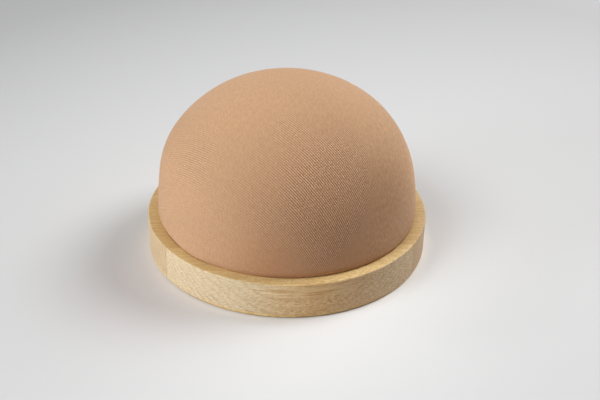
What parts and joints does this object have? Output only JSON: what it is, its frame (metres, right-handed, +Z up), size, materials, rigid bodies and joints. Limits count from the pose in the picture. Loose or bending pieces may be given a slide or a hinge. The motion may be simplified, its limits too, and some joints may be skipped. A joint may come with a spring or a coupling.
{
  "type": "tailor's pressing pad",
  "caption": "Firm domed pressing pad with a knitted cover, set in the recess of a round turned beech tray.",
  "frame": {"origin": "centre of the tray's underside, which is also the middle of the face that the pad stands on", "axes": "+Z up through the top of the dome; -Y is the side that the picture shows as the front; the grain of the staves runs along X, turned 3 degrees about +Z"},
  "size_m": [0.168, 0.168, 0.105],
  "materials": {
    "beech": "turned and sanded beech, thin clear oil finish, with growth rings and ray flecks",
    "knit_cover": "fine matt jersey knit in a warm skin tone, stretched smooth",
    "calico": "plain woven unbleached calico",
    "wool_wadding": "soft off-white wool wadding",
    "packed_sawdust": "firmly packed fine sawdust",
    "plywood": "sawn and sanded birch plywood",
    "zinc_steel": "zinc plated steel wood screw",
    "staple_wire": "galvanised steel wire"
  },
  "bodies": {
    "root": {"base_stave_1": "beech", "base_stave_2": "beech", "base_stave_3": "beech", "base_stave_4": "beech", "board_screw_1": "zinc_steel", "board_screw_2": "zinc_steel", "board_screw_3": "zinc_steel", "board_screw_4": "zinc_steel", "core_stuffing": "packed_sawdust", "cover_staple_01": "staple_wire", "cover_staple_02": "staple_wire", "cover_staple_03": "staple_wire", "cover_staple_04": "staple_wire", "cover_staple_05": "staple_wire", "cover_staple_06": "staple_wire", "cover_staple_07": "staple_wire", "cover_staple_08": "staple_wire", "cover_staple_09": "staple_wire", "cover_staple_10": "staple_wire", "cover_staple_11": "staple_wire", "cover_staple_12": "staple_wire", "cover_staple_13": "staple_wire", "cover_staple_14": "staple_wire", "knit_cover": "knit_cover", "lining_cover": "calico", "lining_staple_01": "staple_wire", "lining_staple_02": "staple_wire", "lining_staple_03": "staple_wire", "lining_staple_04": "staple_wire", "lining_staple_05": "staple_wire", "lining_staple_06": "staple_wire", "lining_staple_07": "staple_wire", "lining_staple_08": "staple_wire", "lining_staple_09": "staple_wire", "lining_staple_10": "staple_wire", "pad_board": "plywood", "wadding_layer": "wool_wadding"}
  },
  "joints": []
}
